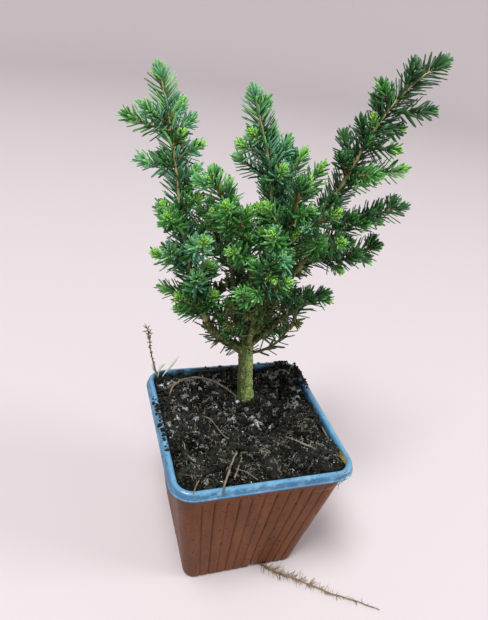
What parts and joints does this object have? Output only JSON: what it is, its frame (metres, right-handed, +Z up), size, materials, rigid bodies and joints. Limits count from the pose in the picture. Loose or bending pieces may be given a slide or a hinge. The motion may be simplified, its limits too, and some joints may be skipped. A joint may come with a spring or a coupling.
{
  "type": "potted conifer",
  "caption": "Young dwarf conifer with upright leaders and short stiff needles, growing from peat in a ribbed square nursery pot with a rolled rim.",
  "frame": {"origin": "middle of the pot's flat underside, where it stands", "axes": "+Z up along the plant; the pot's sides run along X and Y, with the pictured front face toward -Y"},
  "size_m": [0.1351, 0.1301, 0.2591],
  "materials": {
    "pot_plastic": "satin",
    "rim_plastic": "satin",
    "peat": "matte",
    "root": "matte",
    "bark": "matte",
    "needles": "satin"
  },
  "bodies": {
    "root": {"pot_wall": "pot_plastic", "pot_rim": "rim_plastic", "soil": "peat", "stray_root": "root", "trunk": "bark", "middle_bough": "bark", "left_bough": "bark", "right_bough": "bark", "mid_left_bough": "bark", "right_low_bough": "bark", "right_out_bough": "bark", "front_bough": "bark", "centre_front_bough": "bark", "low_front_right_bough": "bark", "back_left_bough": "bark", "back_right_bough": "bark", "left_mass": "needles", "mid_left_mass": "needles", "middle_mass": "needles", "right_mass": "needles", "right_low_mass": "needles", "right_out_mass": "needles", "front_mass": "needles", "centre_front_mass": "needles", "low_front_right_mass": "needles", "back_left_mass": "needles", "back_right_mass": "needles", "back_low_mass": "needles", "front_left_mass": "needles", "low_back_left_mass": "needles", "low_back_right_mass": "needles", "inner_left_mass": "needles", "inner_right_mass": "needles", "low_right_mass": "needles"}
  },
  "joints": []
}
